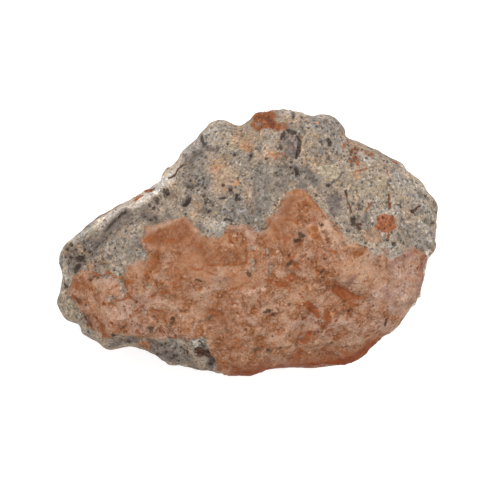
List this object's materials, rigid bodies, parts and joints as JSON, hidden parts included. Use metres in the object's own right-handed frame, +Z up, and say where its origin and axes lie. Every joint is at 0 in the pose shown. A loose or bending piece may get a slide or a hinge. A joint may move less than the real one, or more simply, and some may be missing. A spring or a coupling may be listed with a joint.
{
  "type": "lunar meteorite",
  "caption": "Rough palm-sized stone of pale grey feldspathic breccia, narrow at one end, with orange desert crust over the lower half of its face; it lies on its flattest side.",
  "frame": {"origin": "on the surface that the stone lies on, under the middle of its bounding box", "axes": "+X along the stone from its narrow end to its blunt one, +Y across it to its bare grey side, +Z up out of its best face"},
  "size_m": [0.057, 0.04, 0.0249],
  "materials": {
    "stone": "rough broken rock with a slightly waxy weathered crust"
  },
  "bodies": {
    "root": {"meteorite": "stone"}
  },
  "joints": []
}
